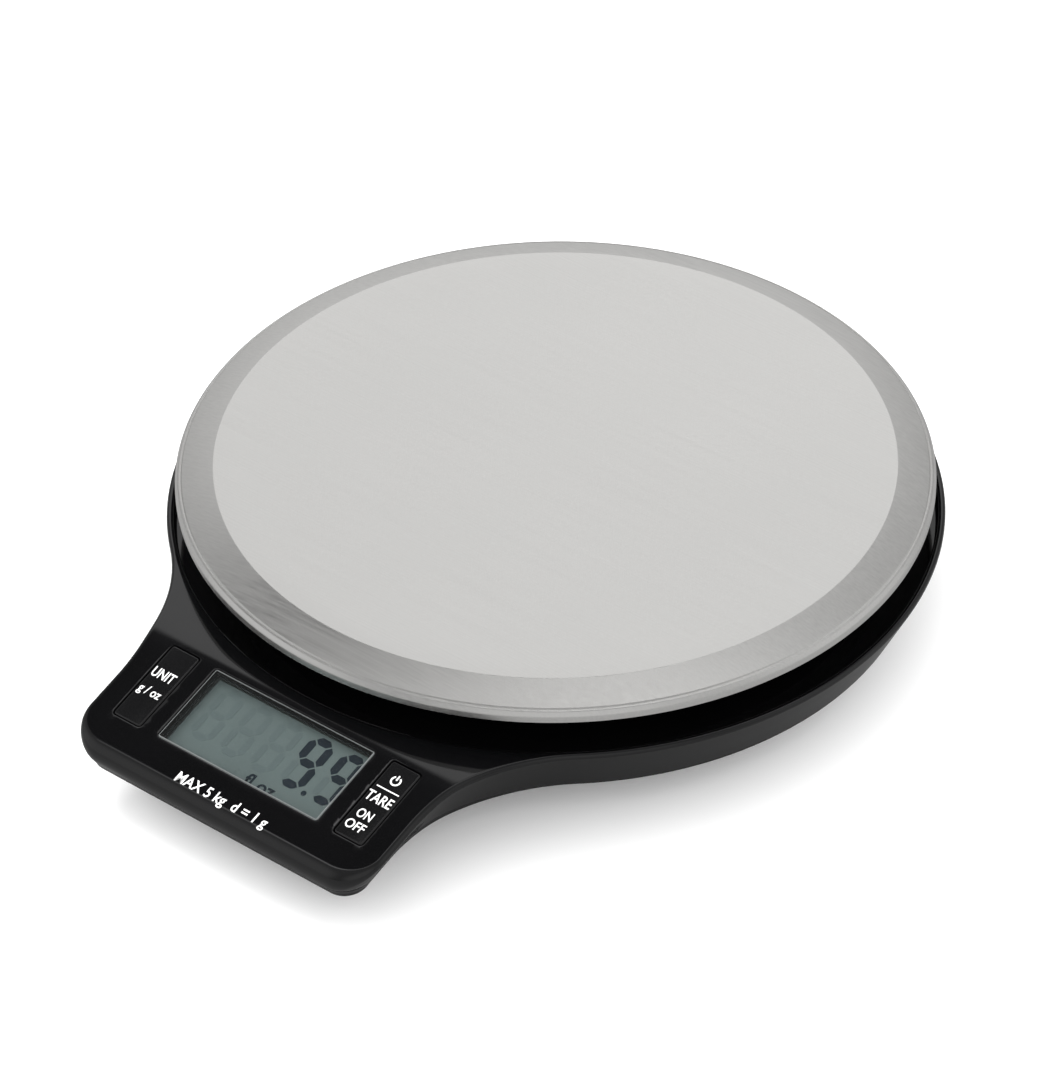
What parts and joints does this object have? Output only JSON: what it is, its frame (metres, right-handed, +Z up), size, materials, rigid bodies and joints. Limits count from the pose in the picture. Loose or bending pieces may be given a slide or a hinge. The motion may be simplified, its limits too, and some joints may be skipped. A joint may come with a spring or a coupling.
{
  "type": "kitchen scale",
  "caption": "Round digital kitchen scale with a floating brushed steel platter and a sloped display tongue carrying a window and two push buttons.",
  "frame": {"origin": "on the table plane, under the middle of the scale's bounding box; the load axis is 17.2 mm behind it", "axes": "+Z up, -Y towards the user and the display tongue, +X to the user's right"},
  "size_m": [0.185, 0.2194, 0.039],
  "materials": {
    "platter_steel": "fine linear brushed grain",
    "carrier_plastic": "moulded",
    "silicone": "soft matt",
    "screw_steel": "zinc plated",
    "housing_gloss": "high gloss",
    "base_plastic": "semi gloss",
    "clear_lens": "clear",
    "foam_black": "foam",
    "frame_plastic": "moulded",
    "lcd_face": "grey-green display",
    "elastomer": "striped elastomer",
    "board": "solder mask",
    "epoxy": "domed epoxy",
    "components": "ceramic",
    "crystal_can": "drawn can",
    "switch_plastic": "moulded",
    "button_plastic": "satin",
    "plunger_plastic": "moulded",
    "cell_aluminium": "milled",
    "gauge_silicone": "white silicone",
    "plate_steel": "rolled",
    "wire_insulation": "smooth insulation",
    "battery_sleeve": "printed sleeve without marks",
    "contact_nickel": "nickel plated",
    "foot_rubber": "matt",
    "label_film": "blank matt film"
  },
  "bodies": {
    "housing": {"top_housing": "housing_gloss", "bottom_housing": "base_plastic", "window_lens": "clear_lens", "window_gasket": "foam_black", "lcd_frame": "frame_plastic", "lcd_glass": "lcd_face", "elastomer_strips": "elastomer", "circuit_board": "board", "chip_blob": "epoxy", "board_components": "components", "crystal": "crystal_can", "board_screws": "screw_steel", "unit_switch_body": "switch_plastic", "tare_switch_body": "switch_plastic", "load_cell": "cell_aluminium", "strain_gauge_cover": "gauge_silicone", "load_cell_plate": "plate_steel", "load_cell_screws": "screw_steel", "load_cell_wires": "wire_insulation", "battery_wires": "wire_insulation", "wire_clip": "carrier_plastic", "battery_front": "battery_sleeve", "battery_rear": "battery_sleeve", "battery_link_contact": "contact_nickel", "battery_positive_contact": "contact_nickel", "battery_negative_contact": "contact_nickel", "foot_front_left": "foot_rubber", "foot_front_right": "foot_rubber", "foot_rear_left": "foot_rubber", "foot_rear_right": "foot_rubber", "housing_screws": "screw_steel", "rating_label": "label_film"},
    "platform": {"platter": "platter_steel", "platter_carrier": "carrier_plastic", "platter_pads": "silicone", "carrier_screws": "screw_steel"},
    "unit_key": {"unit_button": "button_plastic", "unit_switch_plunger": "plunger_plastic"},
    "tare_key": {"tare_button": "button_plastic", "tare_switch_plunger": "plunger_plastic"},
    "door": {"battery_door": "base_plastic"}
  },
  "joints": [
    {"name": "platform_travel", "type": "slide", "parent": "housing", "child": "platform", "axis": [0, 0, -1], "range_m": [0, 0.0006], "stiffness_N_per_m": 100000, "deforming": ["load_cell"]},
    {"name": "unit_key_press", "type": "slide", "parent": "housing", "child": "unit_key", "axis": [0, 0.2538, -0.9673], "range_m": [0, 0.0004], "stiffness_N_per_m": 4000},
    {"name": "tare_key_press", "type": "slide", "parent": "housing", "child": "tare_key", "axis": [0, 0.2538, -0.9673], "range_m": [0, 0.0004], "stiffness_N_per_m": 4000},
    {"name": "battery_door_hinge", "type": "hinge", "parent": "housing", "child": "door", "pos_m": [0, 0.0584, 0.003], "axis": [-1, 0, 0], "range_deg": [0, 75]}
  ]
}
